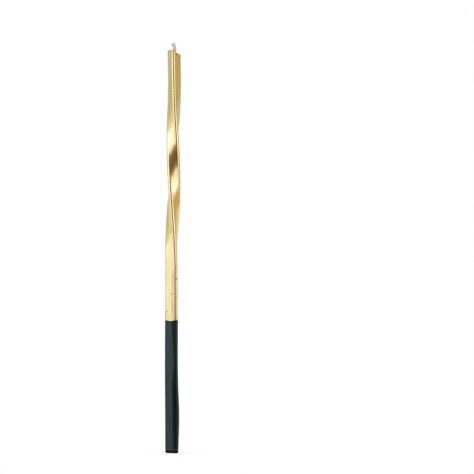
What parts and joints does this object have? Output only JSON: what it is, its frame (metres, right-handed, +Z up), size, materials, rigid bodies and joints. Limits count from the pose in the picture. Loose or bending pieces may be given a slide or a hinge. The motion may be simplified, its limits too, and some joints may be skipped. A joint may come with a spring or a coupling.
{
  "type": "spiral birthday candle",
  "caption": "Slim triangular birthday candle with a twisted middle, a gold lacquer coat, a black-dipped foot and a short cotton wick.",
  "frame": {"origin": "centre of the foot's flat lower end", "axes": "+Z up along the candle from the foot to the wick, -Y towards the viewer of the picture, +X to the right there"},
  "size_m": [0.0056, 0.0056, 0.1604],
  "materials": {
    "waxed_cotton": "twisted cotton cord, waxed",
    "wax": "ivory paraffin wax, cut end",
    "gold_lacquer": "glossy gold metallic lacquer film",
    "black_lacquer": "black dip, satin gloss"
  },
  "bodies": {
    "root": {"wick": "waxed_cotton", "wax_core": "wax", "gold_coat": "gold_lacquer", "black_dip": "black_lacquer"}
  },
  "joints": []
}
